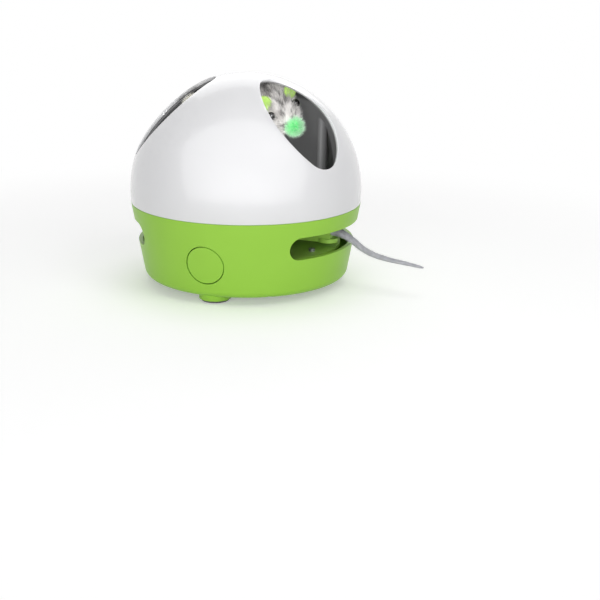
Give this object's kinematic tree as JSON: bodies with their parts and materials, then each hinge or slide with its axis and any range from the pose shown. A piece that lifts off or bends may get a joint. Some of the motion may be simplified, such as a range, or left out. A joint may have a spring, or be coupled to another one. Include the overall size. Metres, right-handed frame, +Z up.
{
  "type": "interactive mouse cat toy",
  "caption": "Domed electric cat toy: a plush mouse circles inside a white dome with oval windows, and a felt tail sweeps from a slot in the green base.",
  "frame": {"origin": "on the floor plane, at the middle of the front foot pad's underside; the dome's axis stands 60.5 mm behind it", "axes": "+Z up along the dome's axis, -Y out of the front button, +X along the tail at rest"},
  "size_m": [0.2211, 0.17, 0.153],
  "materials": {
    "green_plastic": "moulded ABS, satin gloss",
    "dark_green_plastic": "moulded ABS, matt inside face",
    "white_plastic": "moulded ABS, polished",
    "grey_plastic": "moulded ABS, matt",
    "black_plastic": "moulded, matt",
    "ivory_plastic": "moulded acetal",
    "rubber": "moulded pad, matt",
    "steel": "zinc plated",
    "motor_metal": "drawn can",
    "brass": "turned",
    "cell_jacket": "plain jacket",
    "board": "solder resist",
    "grey_fur": "plush fur with dark streaks",
    "green_felt": "felt",
    "eye_plastic": "polished bead",
    "mint_fluff": "fluffy yarn ball",
    "cream_fluff": "fluffy yarn ball",
    "grey_felt": "felt strip"
  },
  "bodies": {
    "base": {"base_shell": "green_plastic", "floor_plate": "dark_green_plastic", "floor_screws": "steel", "foot_pads": "rubber", "case_screws": "steel", "battery_box": "grey_plastic", "battery_cells": "cell_jacket", "battery_contacts": "steel", "power_switch": "black_plastic", "circuit_board": "board", "tact_switch": "black_plastic", "centre_post": "steel", "post_clip": "steel", "tail_motor": "motor_metal", "deck_plate": "grey_plastic", "carousel_motor": "motor_metal", "dome_liner": "grey_plastic", "dome_shell": "white_plastic"},
    "door": {"battery_door": "green_plastic"},
    "power_knob": {"power_knob": "black_plastic"},
    "button": {"front_button": "green_plastic", "tact_plunger": "black_plastic"},
    "tail": {"tail_lever": "dark_green_plastic", "tail_socket": "dark_green_plastic", "felt_tail": "grey_felt"},
    "tail_pinion": {"tail_pinion": "ivory_plastic"},
    "carousel": {"carousel_gear": "ivory_plastic", "hub_bush": "brass", "turntable": "grey_plastic", "turntable_screws": "steel", "mouse_arm": "grey_plastic", "mouse_body": "grey_fur", "mouse_head": "grey_fur", "mouse_ears": "green_felt", "mouse_eyes": "eye_plastic", "nose_ball": "mint_fluff", "rump_ball": "cream_fluff"},
    "carousel_pinion": {"carousel_pinion": "ivory_plastic"}
  },
  "joints": [
    {"name": "door_hinge", "type": "hinge", "parent": "base", "child": "door", "pos_m": [0, 0.0261, 0.0065], "axis": [-1, 0, 0], "range_deg": [0, 75]},
    {"name": "power_slide", "type": "slide", "parent": "base", "child": "power_knob", "axis": [1, 0, 0], "range_m": [0, 0.0045]},
    {"name": "button_press", "type": "slide", "parent": "base", "child": "button", "axis": [0, 1, 0], "range_m": [0, 0.0012], "stiffness_N_per_m": 800},
    {"name": "tail_swing", "type": "hinge", "parent": "base", "child": "tail", "pos_m": [0, 0.0605, 0.0358], "axis": [0, 0, 1], "range_deg": [-38, 38]},
    {"name": "tail_pinion_spin", "type": "hinge", "parent": "base", "child": "tail_pinion", "pos_m": [-0.043, 0.0605, 0.0358], "axis": [0, 0, 1], "range_deg": [-167, 167]},
    {"name": "carousel_spin", "type": "hinge", "parent": "base", "child": "carousel", "pos_m": [0, 0.0605, 0.055], "axis": [0, 0, 1], "continuous": true},
    {"name": "carousel_pinion_spin", "type": "hinge", "parent": "base", "child": "carousel_pinion", "pos_m": [0.01573, 0.09944, 0.055], "axis": [0, 0, 1], "continuous": true}
  ],
  "couplings": [
    {"joint": "tail_pinion_spin", "follows": "tail_swing", "ratio": -4.375},
    {"joint": "carousel_pinion_spin", "follows": "carousel_spin", "ratio": -4.25}
  ]
}
